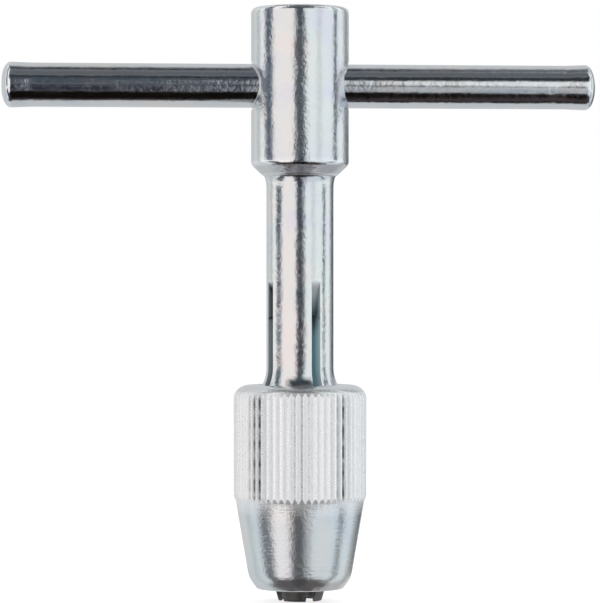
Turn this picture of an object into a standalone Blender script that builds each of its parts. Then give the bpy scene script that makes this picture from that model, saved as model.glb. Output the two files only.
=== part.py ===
"""Chuck tap wrench: a T-handle wrench whose split steel body is closed on the tap by a knurled nut.

Metres, +Z up the spindle. The origin is on the spindle's axis at the level of the jaw tips, and the
sliding bar lies along X. The body is sawn into four spring jaws, which are modelled as solids of their
own so that each can bend at the root of its slots.
"""

import math

import bmesh
import bpy
from mathutils import Matrix, Vector

# Body: the bore that the tap's shank goes up into, the shank round it, shoulder and head
OVERALL_LENGTH = 0.0811
GRIP_DIAMETER = 0.0049
BORE_RELIEF = 0.00065
BORE_DIAMETER = GRIP_DIAMETER + 2 * BORE_RELIEF
BORE_DEPTH = 0.050
DRILL_POINT_ANGLE = math.radians(118.0)
SHANK_WALL = 0.0015
SHANK_DIAMETER = BORE_DIAMETER + 2 * SHANK_WALL
HEAD_DIAMETER = 0.0134
HEAD_LENGTH = 0.02145
HEAD_EDGE_BREAK = 0.0003
SHOULDER_DROP = 0.0015
SHOULDER_FILLET_WIDTH = 0.0005
SHOULDER_FILLET_HEIGHT = 0.0018
SHOULDER_FOOT_DIAMETER = SHANK_DIAMETER + 2 * SHOULDER_FILLET_WIDTH

# Slots: two diametral pairs of saw cuts, each running out on the saw's radius
SLOT_LENGTH = 0.0437
SLOT_WIDTH = 0.00135
SLOT_ANGLE = math.radians(24.0)
SAW_RADIUS = 0.025
SAW_REACH_PAST_BORE = 0.0006
ROOT_BELOW_BREAKTHROUGH = 0.0006
FLEX_GAP = 0.0002

# Spring jaws: strip, flare, threaded land, neck, closing cone and tip
JAW_COUNT = 4
FLARE_START = 0.0319
FLARE_RADIUS = 0.0055
FLARE_RISE = 0.00075
LAND_DIAMETER = SHANK_DIAMETER + 2 * FLARE_RISE
LAND_BOTTOM = 0.0150
NECK_DROP = 0.00065
NECK_DIAMETER = LAND_DIAMETER - 2 * NECK_DROP
JAW_NOSE_WALL = 0.00098
JAW_NOSE_DIAMETER = GRIP_DIAMETER + 2 * JAW_NOSE_WALL
JAW_TIP_WALL = 0.0005
JAW_TIP_DIAMETER = GRIP_DIAMETER + 2 * JAW_TIP_WALL
CONE_HALF_ANGLE = math.radians(11.0)
GRIP_LENGTH = 0.010
GRIP_MOUTH_BREAK = 0.0002

# Chuck nut, with its heights measured up from its nose face
NUT_REST_HEIGHT = 0.00165
NUT_LENGTH = 0.02785
NUT_WALL = 0.00375
NUT_DIAMETER = LAND_DIAMETER + 2 * NUT_WALL
NUT_CROWN_INSET = 0.0022
NUT_CROWN_HEIGHT = 0.0015
NUT_MOUTH_BREAK = 0.0005
KNURL_TEETH = 60
KNURL_DEPTH = 0.00035
KNURL_BOTTOM = 0.01235
KNURL_END_BEVEL = 0.0003
TAPER_TOP_INSET = 0.0003
TAPER_FOOT_INSET = 0.0021
TAPER_FOOT_HEIGHT = 0.0015
NOSE_INSET = 0.0032
NOSE_HOLE_GAP = 0.00057
NOSE_LIP_THICKNESS = 0.0017
THREAD_CLEARANCE = 0.00025

# Closing cone of the nut
CONE_RING_ABOVE_CONE = 0.00257
CONE_RING_CLEARANCE = 0.0001
CONE_RING_SEAT_GAP = 0.0003
CONE_CLEARANCE = 0.00025

# Sliding bar, upset at both ends so that it can't leave the head
BAR_DIAMETER = 0.0060
BAR_LENGTH = 0.0814
BAR_BELOW_TOP = 0.0107
BAR_CLEARANCE = 0.0001
BAR_UPSET_RISE = 0.0002
BAR_UPSET_LENGTH = 0.0007
BAR_DOME_HEIGHT = 0.0008
BAR_FACE_DIAMETER = 0.0034
BAR_HOLE_BREAK = 0.0002

# Facets round each turned piece
BODY_STEPS = 64
BAR_STEPS = 48
ARC_STEPS = 5
SMOOTH_ANGLE = math.radians(28.0)

PLATE_LIGHT = (0.78, 0.80, 0.81)
PLATE_DARK = (0.55, 0.57, 0.59)


def saw_half_chord(radius):
    """Half the length that the saw's rim covers along a cylinder of this radius about the axis."""
    depth = radius - (BORE_DIAMETER / 2 - SAW_REACH_PAST_BORE)
    return math.sqrt(2 * SAW_RADIUS * depth - depth * depth)


def jaw_root_height():
    """The level at which every slot has broken through the wall, so that the jaws part."""
    run_out = saw_half_chord(SHANK_DIAMETER / 2) - saw_half_chord(BORE_DIAMETER / 2)
    return SLOT_LENGTH - run_out - ROOT_BELOW_BREAKTHROUGH


def quarter_arc(start, end, bulge_first_radially, steps=ARC_STEPS):
    """Points of a quarter ellipse from start to end in (radius, height), without the start point."""
    (r0, z0), (r1, z1) = start, end
    points = []
    for i in range(1, steps + 1):
        turn = math.pi / 2 * i / steps
        slow, fast = 1 - math.cos(turn), math.sin(turn)
        along_r, along_z = (fast, slow) if bulge_first_radially else (slow, fast)
        points.append((r0 + (r1 - r0) * along_r, z0 + (z1 - z0) * along_z))
    return points


def revolve(profile, steps, closed):
    """A bmesh turned round Z from (radius, height) points. A closed profile makes a ring."""
    turned = bmesh.new()
    verts = [turned.verts.new((r, 0.0, z)) for r, z in profile]
    pairs = list(zip(verts, verts[1:]))
    if closed:
        pairs.append((verts[-1], verts[0]))
    edges = [turned.edges.new(pair) for pair in pairs]
    bmesh.ops.spin(
        turned, geom=verts + edges, axis=(0, 0, 1), cent=(0, 0, 0), angle=2 * math.pi, steps=steps
    )
    bmesh.ops.remove_doubles(turned, verts=turned.verts, dist=1e-7)
    bmesh.ops.recalc_face_normals(turned, faces=turned.faces)
    return turned


def mesh_of(form, name, origin=Vector()):
    """The bmesh as a mesh about the given origin."""
    bmesh.ops.translate(form, verts=form.verts, vec=-origin)
    mesh = bpy.data.meshes.new(name)
    form.to_mesh(mesh)
    form.free()
    return mesh


def add_object(name, mesh, location=Vector()):
    placed = bpy.data.objects.new(name, mesh)
    placed.location = location
    bpy.context.scene.collection.objects.link(placed)
    return placed


def finish(piece, material):
    """Sets the material and smooth shading that keeps the turned edges sharp."""
    piece.data.materials.clear()
    piece.data.materials.append(material)
    piece.data.shade_smooth()
    piece.data.set_sharp_from_angle(angle=SMOOTH_ANGLE)
    return piece


def add_cutter(name, form):
    """A guide that only cuts: it is drawn as wire and left out of the part."""
    cutter = add_object(name, mesh_of(form, name))
    cutter.hide_render = True
    cutter.display_type = "WIRE"
    return cutter


def apply_boolean(piece, cutter, operation):
    """Cuts the piece with the cutter and keeps the result as the piece's own mesh."""
    modifier = piece.modifiers.new(cutter.name, "BOOLEAN")
    modifier.operation = operation
    modifier.solver = "EXACT"
    modifier.object = cutter
    graph = bpy.context.evaluated_depsgraph_get()
    cut = bpy.data.meshes.new_from_object(piece.evaluated_get(graph))
    piece.modifiers.clear()
    piece.data = cut


def disc(radius, thickness, steps):
    """A cylinder about Z, centred on the origin."""
    profile = [
        (0.0, thickness / 2),
        (radius, thickness / 2),
        (radius, -thickness / 2),
        (0.0, -thickness / 2),
    ]
    return revolve(profile, steps, closed=False)


def plate_material(name, colour, roughness):
    """Bright zinc plate on steel."""
    material = bpy.data.materials.new(name)
    material.use_nodes = True
    shader = material.node_tree.nodes["Principled BSDF"]
    shader.inputs["Base Color"].default_value = (*colour, 1.0)
    shader.inputs["Metallic"].default_value = 1.0
    shader.inputs["Roughness"].default_value = roughness
    return material


def spindle_profile():
    """Outside of the head and shank, then the blind bore back up to its drill point."""
    head, shank, bore = HEAD_DIAMETER / 2, SHANK_DIAMETER / 2, BORE_DIAMETER / 2
    head_foot = OVERALL_LENGTH - HEAD_LENGTH
    shoulder_foot = head_foot - SHOULDER_DROP
    bottom = jaw_root_height() + FLEX_GAP
    profile = [
        (0.0, OVERALL_LENGTH),
        (head - HEAD_EDGE_BREAK, OVERALL_LENGTH),
        (head, OVERALL_LENGTH - HEAD_EDGE_BREAK),
        (head, head_foot),
        (SHOULDER_FOOT_DIAMETER / 2, shoulder_foot),
    ]
    fillet_end = (shank, shoulder_foot - SHOULDER_FILLET_HEIGHT)
    profile += quarter_arc(profile[-1], fillet_end, bulge_first_radially=True)
    profile += [(shank, bottom), (bore, bottom), (bore, BORE_DEPTH)]
    profile.append((0.0, BORE_DEPTH + bore / math.tan(DRILL_POINT_ANGLE / 2)))
    return profile


def bar_hole_cutter():
    """The cross hole for the bar, opened a little where it leaves the head's sides."""
    radius = BAR_DIAMETER / 2 + BAR_CLEARANCE
    rim = math.sqrt((HEAD_DIAMETER / 2) ** 2 - radius**2)
    past = HEAD_DIAMETER / 2
    slope = BAR_HOLE_BREAK / (past - rim)
    wide = radius + slope * 2 * (past - rim)
    outer = 2 * past - rim
    profile = [(0.0, outer), (wide, outer), (radius, rim), (radius, -rim), (wide, -outer), (0.0, -outer)]
    form = revolve(profile, BAR_STEPS, closed=False)
    height = OVERALL_LENGTH - BAR_BELOW_TOP
    place = Matrix.Translation((0, 0, height)) @ Matrix.Rotation(math.pi / 2, 4, "Y")
    bmesh.ops.transform(form, matrix=place, verts=form.verts)
    return add_cutter("bar_hole_cutter", form)


def saw_cutter(index):
    """The saw blade at the end of one slot's cut."""
    form = disc(SAW_RADIUS, SLOT_WIDTH, BODY_STEPS * 4)
    centre_height = SLOT_LENGTH - saw_half_chord(SHANK_DIAMETER / 2)
    centre_radius = BORE_DIAMETER / 2 - SAW_REACH_PAST_BORE + SAW_RADIUS
    upright = Matrix.Rotation(math.pi / 2, 4, "X")
    out = Matrix.Translation((centre_radius, 0, centre_height))
    turn = Matrix.Rotation(SLOT_ANGLE + index * 2 * math.pi / JAW_COUNT, 4, "Z")
    bmesh.ops.transform(form, matrix=turn @ out @ upright, verts=form.verts)
    return add_cutter(f"saw_cutter_{index + 1}", form)


def add_spindle(material):
    """Head and shank in one piece, bored, cross-drilled and sawn at its lower end."""
    form = revolve(spindle_profile(), BODY_STEPS, closed=False)
    spindle = add_object("spindle", mesh_of(form, "spindle"))
    apply_boolean(spindle, bar_hole_cutter(), "DIFFERENCE")
    for index in range(JAW_COUNT):
        apply_boolean(spindle, saw_cutter(index), "DIFFERENCE")
    return finish(spindle, material)


def jaw_cone_radius(height):
    """Outer radius of the jaws' closing cone at a height above the tips."""
    return JAW_NOSE_DIAMETER / 2 + (height - NUT_REST_HEIGHT) * math.tan(CONE_HALF_ANGLE)


def cone_top_height():
    """Where the jaws' cone reaches their neck."""
    return NUT_REST_HEIGHT + (NECK_DIAMETER - JAW_NOSE_DIAMETER) / 2 / math.tan(CONE_HALF_ANGLE)


def flare_points():
    """The swelling from the shank to the threaded land, an arc that leaves the shank tangentially."""
    shank = SHANK_DIAMETER / 2
    sweep = math.acos(1 - FLARE_RISE / FLARE_RADIUS)
    points = []
    for i in range(ARC_STEPS + 1):
        turn = sweep * i / ARC_STEPS
        radius = shank + FLARE_RADIUS * (1 - math.cos(turn))
        points.append((radius, FLARE_START - FLARE_RADIUS * math.sin(turn)))
    return points


def jaws_profile():
    """Section through one wall of the four jaws: the outside downwards, then the bore upwards."""
    root = jaw_root_height()
    neck, bore, grip = NECK_DIAMETER / 2, BORE_DIAMETER / 2, GRIP_DIAMETER / 2
    outside = [(SHANK_DIAMETER / 2, root)] + flare_points()
    outside += [
        (LAND_DIAMETER / 2, LAND_BOTTOM),
        (neck, LAND_BOTTOM),
        (neck, cone_top_height()),
        (JAW_NOSE_DIAMETER / 2, NUT_REST_HEIGHT),
        (JAW_TIP_DIAMETER / 2, 0.0),
    ]
    inside = [
        (grip + GRIP_MOUTH_BREAK, 0.0),
        (grip, GRIP_MOUTH_BREAK),
        (grip, GRIP_LENGTH),
        (bore, GRIP_LENGTH + bore - grip),
        (bore, root),
    ]
    return outside + inside


def jaw_quadrant_cutter():
    """The space between two slots, which keeps one jaw of the turned ring."""
    reach = LAND_DIAMETER
    form = bmesh.new()
    bmesh.ops.create_cube(form, size=1.0)
    bmesh.ops.scale(form, vec=(reach, reach, OVERALL_LENGTH), verts=form.verts)
    middle = Vector((reach / 2 + SLOT_WIDTH / 2, reach / 2 + SLOT_WIDTH / 2, OVERALL_LENGTH / 4))
    bmesh.ops.translate(form, vec=middle, verts=form.verts)
    return add_cutter("jaw_quadrant_cutter", form)


def add_jaws(material):
    """Four like jaws, each with its origin on the line about which its root bends."""
    ring = add_object("jaw_ring", mesh_of(revolve(jaws_profile(), BODY_STEPS, closed=True), "jaw_ring"))
    apply_boolean(ring, jaw_quadrant_cutter(), "INTERSECT")
    root_radius = (SHANK_DIAMETER + BORE_DIAMETER) / 4
    diagonal = Matrix.Rotation(-math.pi / JAW_COUNT, 4, "Z")
    pivot = Matrix.Translation((-root_radius, 0, -jaw_root_height()))
    jaw_mesh = ring.data
    jaw_mesh.transform(pivot @ diagonal)
    bpy.data.objects.remove(ring)
    jaws = []
    for index in range(JAW_COUNT):
        angle = SLOT_ANGLE + (index + 0.5) * 2 * math.pi / JAW_COUNT
        place = Vector((root_radius * math.cos(angle), root_radius * math.sin(angle), jaw_root_height()))
        jaw = add_object(f"spring_jaw_{index + 1}", jaw_mesh, place)
        jaw.rotation_euler.z = angle
        jaws.append(finish(jaw, material))
    return jaws


def nut_floor_height():
    """Level of the step inside the nut on which its closing cone sits."""
    return NUT_REST_HEIGHT + NOSE_LIP_THICKNESS


def nut_bore_radius():
    return LAND_DIAMETER / 2 + THREAD_CLEARANCE


def nut_profile():
    """Section through the nut's wall: crown, knurled band, taper, nose, lip and bore."""
    nose = NUT_REST_HEIGHT
    top = nose + NUT_LENGTH
    bore, lip = nut_bore_radius(), JAW_NOSE_DIAMETER / 2 + NOSE_HOLE_GAP
    crest = NUT_DIAMETER / 2
    root = crest - KNURL_DEPTH
    crown_foot = top - NUT_CROWN_HEIGHT
    profile = [(crest - NUT_CROWN_INSET, top)]
    profile += quarter_arc(profile[0], (root, crown_foot + KNURL_DEPTH), bulge_first_radially=True)
    profile += [
        (crest, crown_foot),
        (crest, nose + KNURL_BOTTOM),
        (crest - TAPER_TOP_INSET, nose + KNURL_BOTTOM - KNURL_END_BEVEL),
        (crest - TAPER_FOOT_INSET, nose + TAPER_FOOT_HEIGHT),
        (crest - NOSE_INSET, nose),
        (lip, nose),
        (lip, nut_floor_height()),
        (bore, nut_floor_height()),
        (bore, top - NUT_MOUTH_BREAK),
        (bore + NUT_MOUTH_BREAK, top),
    ]
    return profile


def cut_knurl(form):
    """Sinks every second line of points of the knurled band, which leaves straight V teeth."""
    crest = NUT_DIAMETER / 2
    tooth_angle = 2 * math.pi / KNURL_TEETH
    for vert in form.verts:
        radius = math.hypot(vert.co.x, vert.co.y)
        turns = math.atan2(vert.co.y, vert.co.x) / tooth_angle
        in_groove = abs(turns - round(turns)) > 0.25
        if in_groove and abs(radius - crest) < KNURL_DEPTH / 2:
            vert.co.xy *= (crest - KNURL_DEPTH) / radius


def add_chuck_nut(material):
    """Knurled nut with a tapered nose, bored from the top down to the lip at its nose."""
    form = revolve(nut_profile(), 2 * KNURL_TEETH, closed=True)
    cut_knurl(form)
    return finish(add_object("chuck_nut", mesh_of(form, "chuck_nut")), material)


def cone_ring_profile():
    """The nut's closing cone: it follows the jaws' cone and stands on the step inside the nose."""
    bottom = nut_floor_height() + CONE_RING_SEAT_GAP
    top = cone_top_height() + CONE_RING_ABOVE_CONE
    outer = nut_bore_radius() - CONE_RING_CLEARANCE
    return [
        (outer, top),
        (outer, bottom),
        (jaw_cone_radius(bottom) + CONE_CLEARANCE, bottom),
        (NECK_DIAMETER / 2 + CONE_CLEARANCE, cone_top_height()),
        (NECK_DIAMETER / 2 + CONE_CLEARANCE, top),
    ]


def add_cone_ring(material):
    form = revolve(cone_ring_profile(), BODY_STEPS, closed=True)
    return finish(add_object("chuck_nut_cone", mesh_of(form, "chuck_nut_cone")), material)


def bar_end_points():
    """One end of the bar from its middle outwards: upset ring, dome and small flat face."""
    half, upset = BAR_LENGTH / 2, BAR_DIAMETER / 2 + BAR_UPSET_RISE
    ring_end = half - BAR_DOME_HEIGHT
    ring_start = ring_end - BAR_UPSET_LENGTH
    points = [(BAR_DIAMETER / 2, ring_start - BAR_UPSET_RISE), (upset, ring_start)]
    points.append((upset, ring_end))
    points += quarter_arc(points[-1], (BAR_FACE_DIAMETER / 2, half), bulge_first_radially=False)
    return points + [(0.0, half)]


def add_tommy_bar(material):
    """Round bar along X through the head, with its origin at its middle."""
    outwards = bar_end_points()
    profile = list(reversed(outwards)) + [(r, -z) for r, z in outwards]
    form = revolve(profile, BAR_STEPS, closed=False)
    bmesh.ops.rotate(form, matrix=Matrix.Rotation(math.pi / 2, 3, "Y"), verts=form.verts)
    place = Vector((0, 0, OVERALL_LENGTH - BAR_BELOW_TOP))
    return finish(add_object("tommy_bar", mesh_of(form, "tommy_bar"), place), material)


def main():
    for old in list(bpy.data.objects):
        bpy.data.objects.remove(old)
    body_plate = plate_material("body_zinc_plate", PLATE_LIGHT, 0.22)
    nut_plate = plate_material("nut_zinc_plate", PLATE_LIGHT, 0.32)
    bar_plate = plate_material("bar_zinc_plate", PLATE_DARK, 0.25)
    add_spindle(body_plate)
    add_jaws(body_plate)
    add_chuck_nut(nut_plate)
    add_cone_ring(nut_plate)
    add_tommy_bar(bar_plate)


main()
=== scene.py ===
"""Chuck tap wrench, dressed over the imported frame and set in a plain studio.

The wrench is a turned body with a cross hole for its sliding bar. Four sawn spring jaws at its lower end
are closed on the tap by a straight-knurled nut. All of it is bright zinc plate over machined steel, so the
look comes from exact turned forms, fine machining marks and what the plate mirrors. Sizes are in
millimetres in the classes and become metres when a mesh is made.
"""

import logging
import math
from collections.abc import Callable, Sequence
from dataclasses import dataclass, replace
from enum import Enum

import bmesh
import bpy
import numpy as np
from mathutils import Matrix, Vector
from mathutils.kdtree import KDTree


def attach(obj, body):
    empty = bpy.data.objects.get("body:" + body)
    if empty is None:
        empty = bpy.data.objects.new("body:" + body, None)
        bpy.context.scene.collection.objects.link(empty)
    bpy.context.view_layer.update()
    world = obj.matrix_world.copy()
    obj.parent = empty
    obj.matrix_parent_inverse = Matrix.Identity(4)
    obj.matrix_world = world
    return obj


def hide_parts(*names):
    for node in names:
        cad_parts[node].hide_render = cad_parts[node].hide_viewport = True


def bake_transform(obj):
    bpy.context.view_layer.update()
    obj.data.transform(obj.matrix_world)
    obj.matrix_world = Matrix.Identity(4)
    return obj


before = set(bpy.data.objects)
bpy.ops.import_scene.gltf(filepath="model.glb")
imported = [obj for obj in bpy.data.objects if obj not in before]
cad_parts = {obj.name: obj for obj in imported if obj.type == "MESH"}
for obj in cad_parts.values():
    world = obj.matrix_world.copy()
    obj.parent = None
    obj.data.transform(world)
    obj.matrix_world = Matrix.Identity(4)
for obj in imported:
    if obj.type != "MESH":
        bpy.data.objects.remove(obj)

MM = 0.001
PICTURE_WIDTH = 600
PICTURE_HEIGHT = 603
LOG = logging.getLogger("chuck_tap_wrench")

# A near-black colour that paints shade into single knurl grooves and into the bore and slots where the
# spindle meets the jaws, and how strongly it is laid on
PAINTED_SHADE_COLOUR = "#1d1b1c"
PAINTED_SHADE_SHARE = 0.85

Point = tuple[float, float]
Corner = tuple[float, float, float]


class Grain(Enum):
    """Which way the fine marks of a surface run, as the scale of a pattern along X, Y and Z."""

    TURNED = (0.06, 0.06, 1.0)
    DRAWN = (0.04, 1.0, 1.0)
    EVEN = (1.0, 1.0, 1.0)


def srgb(code: str) -> tuple[float, float, float, float]:
    """Turns a colour as written into the linear colour that a shader takes.

    Args:
        code: The colour as an sRGB hex value such as "#c8d0d8".

    Returns:
        The linear red, green, blue and alpha.
    """
    channels = [int(code[start : start + 2], 16) / 255 for start in (1, 3, 5)]
    linear = [c / 12.92 if c <= 0.04045 else ((c + 0.055) / 1.055) ** 2.4 for c in channels]
    return (linear[0], linear[1], linear[2], 1.0)


def add_node(
    tree: bpy.types.NodeTree, kind: str, inputs: dict | None = None, **settings: object
) -> bpy.types.Node:
    """Adds a node with its settings, its values and its links.

    Args:
        tree: The tree that gets the node.
        kind: The node's type.
        inputs: A value, or a socket to link from, for each input named or numbered.
        **settings: Properties of the node itself.

    Returns:
        The node.
    """
    node = tree.nodes.new(kind)
    for name, value in settings.items():
        setattr(node, name, value)
    for key, value in (inputs or {}).items():
        if isinstance(value, bpy.types.NodeSocket):
            tree.links.new(value, node.inputs[key])
        else:
            node.inputs[key].default_value = value
    return node


def blank_material(name: str) -> bpy.types.Material:
    """Makes a material whose node tree is still empty."""
    material = bpy.data.materials.new(name)
    material.use_nodes = True
    material.node_tree.nodes.clear()
    return material


@dataclass(frozen=True)
class MetalFinish:
    """A metal surface: slow drift of tint, mottle, directed machining marks, soil, worn edges and painted
    light.

    Pattern sizes are in millimetres. The soil attribute stains and dulls hollows; on the spindle's shoulder
    and in its cross hole its dark colour is painted shade. "edge" lightens corners, as wear and as a
    painted highlight, and the painted-shade attribute lays near-black painted shade into single grooves and
    into the slots.
    """

    name: str
    tints: tuple[str, str, str]
    # The soil colour, which in some hollows is painted shade
    soil_and_shade: str
    # The colour of worn corners, which also paints a highlight on them
    wear_and_highlight: str
    roughness: Point
    grain: Grain
    grain_size: float
    grain_depth: float
    mottle_size: float
    mottle_depth: float
    wave_size: float = 3.0
    wave_depth: float = 0.05
    drift_size: float = 7.0
    metallic: float = 1.0
    soiled_and_shaded_metal: float = 0.58
    soil_and_shade_dulling: float = 0.25

    def make(self) -> bpy.types.Material:
        """Builds the material.

        Returns:
            The material, read in Object coordinates.
        """
        material = blank_material(self.name)
        tree = material.node_tree
        place = add_node(tree, "ShaderNodeTexCoord").outputs["Object"]
        drift = self._noise(tree, place, self.drift_size, Detail=2.0)
        mottle = self._noise(tree, place, self.mottle_size, Detail=3.0, Roughness=0.6)
        wave = self._noise(tree, place, self.wave_size, Detail=1.0)
        stretch = tuple(scale / (self.grain_size * MM) for scale in self.grain.value)
        along = add_node(tree, "ShaderNodeVectorMath", {0: place, 1: stretch}, operation="MULTIPLY")
        marks = self._noise(tree, along.outputs[0], 1 / MM, Detail=2.0, Roughness=0.7)
        # Share of the soil colour: a stain in most places, painted shade in others
        soil_and_shade = add_node(tree, "ShaderNodeAttribute", attribute_name="soil_and_shade").outputs["Fac"]
        both = add_node(tree, "ShaderNodeMath", {0: mottle, 1: marks}, operation="ADD").outputs[0]
        # Two noises that each stay near the middle of 0 to 1 add up to about 0.7 to 1.3.
        spread = {0: both, 1: 0.7, 2: 1.3, 3: self.roughness[0], 4: self.roughness[1]}
        rough = add_node(tree, "ShaderNodeMapRange", spread).outputs[0]
        dulled = {0: soil_and_shade, 1: self.soil_and_shade_dulling, 2: rough}
        bare = {0: soil_and_shade, 3: self.metallic, 4: self.metallic * self.soiled_and_shaded_metal}
        depths = (self.wave_depth, self.mottle_depth, self.grain_depth)
        relief = {}
        for depth, height in zip(depths, (wave, mottle, marks)):
            bump = add_node(tree, "ShaderNodeBump", {"Distance": depth * MM, "Height": height, **relief})
            relief = {"Normal": bump.outputs[0]}
        shader = add_node(
            tree,
            "ShaderNodeBsdfPrincipled",
            {
                "Base Color": self._colour(tree, drift, mottle, soil_and_shade),
                "Metallic": add_node(tree, "ShaderNodeMapRange", bare).outputs[0],
                "Roughness": add_node(tree, "ShaderNodeMath", dulled, operation="MULTIPLY_ADD").outputs[0],
                **relief,
            },
        )
        add_node(tree, "ShaderNodeOutputMaterial", {0: shader.outputs[0]})
        return material

    def _noise(
        self, tree: bpy.types.NodeTree, place: bpy.types.NodeSocket, size: float, **settings: float
    ) -> bpy.types.NodeSocket:
        """Adds a noise pattern.

        Args:
            tree: The material's tree.
            place: The coordinates it is read in.
            size: The width of one spot, in millimetres.
            **settings: Its detail and roughness.

        Returns:
            The socket with its value.
        """
        inputs = {"Vector": place, "Scale": 1 / (size * MM), **settings}
        return add_node(tree, "ShaderNodeTexNoise", inputs).outputs[0]

    def _colour(
        self,
        tree: bpy.types.NodeTree,
        drift: bpy.types.NodeSocket,
        mottle: bpy.types.NodeSocket,
        soil_and_shade: bpy.types.NodeSocket,
    ) -> bpy.types.NodeSocket:
        """Mixes the tints, the worn corners with their painted highlight, the soil with its painted shade
        and the painted shade in grooves.

        Args:
            tree: The material's tree.
            drift: The slow noise that moves between the tints.
            mottle: The fine noise that breaks the tints up.
            soil_and_shade: How much of the soil colour a point gets, which in places is painted shade.

        Returns:
            The socket with the colour.
        """
        both = add_node(tree, "ShaderNodeMath", {0: mottle, 1: 0.35, 2: drift}, operation="MULTIPLY_ADD")
        ramp = add_node(tree, "ShaderNodeValToRGB", {0: both.outputs[0]})
        points = ramp.color_ramp.elements
        points[0].position = 0.48
        points[0].color = srgb(self.tints[0])
        points[1].position = 0.86
        points[1].color = srgb(self.tints[2])
        points.new(0.67).color = srgb(self.tints[1])
        edge = add_node(tree, "ShaderNodeAttribute", attribute_name="edge").outputs["Fac"]
        painted_shade = add_node(tree, "ShaderNodeAttribute", attribute_name="painted_shade").outputs["Fac"]
        colour = ramp.outputs[0]
        # Worn corners with a painted highlight, the soil colour with its painted shade, then painted shade
        # in grooves
        for share, code in ((edge, self.wear_and_highlight), (soil_and_shade, self.soil_and_shade), (painted_shade, PAINTED_SHADE_COLOUR)):
            mixed = add_node(tree, "ShaderNodeMix", {0: share, 6: colour, 7: srgb(code)}, data_type="RGBA")
            colour = mixed.outputs[2]
        return colour


# Bright zinc electroplate with a clear blue passivate, on turned free-cutting steel. It mirrors its
# surroundings almost colourlessly, with a lilac to straw drift, a fine orange-peel mottle and slow waves.
# The real turning marks lie about 0.05 mm apart and are drawn coarser, so that a picture can hold them.
BODY_ZINC = MetalFinish(
    name="Bright zinc plate on turned steel",
    tints=("#e1e0ea", "#e4e8e6", "#ede7e5"),
    # Dark soil, also used as painted shade in the cross hole and on the shoulder under the head
    soil_and_shade="#3a3231",
    wear_and_highlight="#f6f7f7",
    roughness=(0.09, 0.2),
    grain=Grain.TURNED,
    grain_size=0.16,
    grain_depth=0.0016,
    mottle_size=0.5,
    mottle_depth=0.034,
    wave_depth=0.07,
)
# The same plate over a rolled knurl and a coarser turned taper, whose marks blur what it mirrors. These
# marks, about 0.1 mm apart, are drawn coarser too. Its soil colour is the plate's milky bloom on the
# knurl's flanks.
NUT_ZINC = MetalFinish(
    name="Bright zinc plate on knurled and turned steel",
    tints=("#e0e4ea", "#e7eaea", "#eeebe7"),
    soil_and_shade="#fafbfc",
    wear_and_highlight="#ffffff",
    roughness=(0.11, 0.24),
    grain=Grain.TURNED,
    grain_size=0.24,
    grain_depth=0.02,
    mottle_size=0.4,
    mottle_depth=0.03,
    wave_depth=0.04,
    metallic=0.9,
)
# The same plate on cold-drawn bar, with long drawing marks and a coarser mottle of pits.
BAR_ZINC = MetalFinish(
    name="Bright zinc plate on cold-drawn bar",
    tints=("#dcdfe4", "#e4e6e8", "#e8e5e2"),
    soil_and_shade="#3c3534",
    wear_and_highlight="#eff1f2",
    roughness=(0.08, 0.2),
    grain=Grain.DRAWN,
    grain_size=0.3,
    grain_depth=0.003,
    mottle_size=0.62,
    mottle_depth=0.022,
    wave_depth=0.05,
)
# Saw-cut and drilled steel. The clear passivate pools to teal where the cuts are deep.
SAWN_STEEL = MetalFinish(
    name="Sawn and drilled steel under teal passivate",
    tints=("#a2a7b0", "#aab0b6", "#b0b3b4"),
    soil_and_shade="#c2e8f0",
    wear_and_highlight="#dfe5e8",
    roughness=(0.3, 0.46),
    grain=Grain.EVEN,
    grain_size=0.2,
    grain_depth=0.01,
    mottle_size=0.35,
    mottle_depth=0.012,
    metallic=0.25,
)
# The same cut where cutting oil has dried in it and turned it dark.
OILED_STEEL = replace(
    SAWN_STEEL,
    name="Sawn steel dark with dried oil",
    tints=("#3c4048", "#43484f", "#4a4e54"),
    soil_and_shade="#3a4650",
    metallic=0.6,
)


def rounded(corners: Sequence[Corner], steps: int = 5) -> list[Point]:
    """Rounds the corners of an outline.

    Args:
        corners: Radius, height and setback of each corner. A setback of 0 leaves it sharp.
        steps: Points along each rounding.

    Returns:
        The outline's points.
    """
    points: list[Point] = []
    for index, (radius, height, setback) in enumerate(corners):
        here = Vector((radius, height))
        if setback == 0 or index in (0, len(corners) - 1):
            points.append((radius, height))
            continue
        before = (Vector(corners[index - 1][:2]) - here).normalized() * setback + here
        after = (Vector(corners[index + 1][:2]) - here).normalized() * setback + here
        for step in range(steps + 1):
            t = step / steps
            blended = before * (1 - t) ** 2 + here * (2 * t * (1 - t)) + after * t**2
            points.append((blended.x, blended.y))
    return points


def fine(points: Sequence[Point], longest: float) -> list[Point]:
    """Divides the long stretches of an outline.

    Args:
        points: The outline.
        longest: The longest stretch that stays whole.

    Returns:
        The outline with points added.
    """
    out = [points[0]]
    for start, end in zip(points, points[1:]):
        parts = max(1, math.ceil(math.dist(start, end) / longest - 1e-6))
        for part in range(1, parts + 1):
            t = part / parts
            out.append((start[0] + (end[0] - start[0]) * t, start[1] + (end[1] - start[1]) * t))
    return out


def arc(centre: Point, radii: Point, start: float, end: float, steps: int) -> list[Point]:
    """Points of an elliptic arc.

    Args:
        centre: The arc's centre.
        radii: Its half axes along the radius and the height.
        start: The angle of its first point, in degrees from the radius axis.
        end: The angle of its last point.
        steps: The number of stretches.

    Returns:
        The points, first and last included.
    """
    turns = [math.radians(start + (end - start) * step / steps) for step in range(steps + 1)]
    return [(centre[0] + radii[0] * math.cos(t), centre[1] + radii[1] * math.sin(t)) for t in turns]


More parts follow.
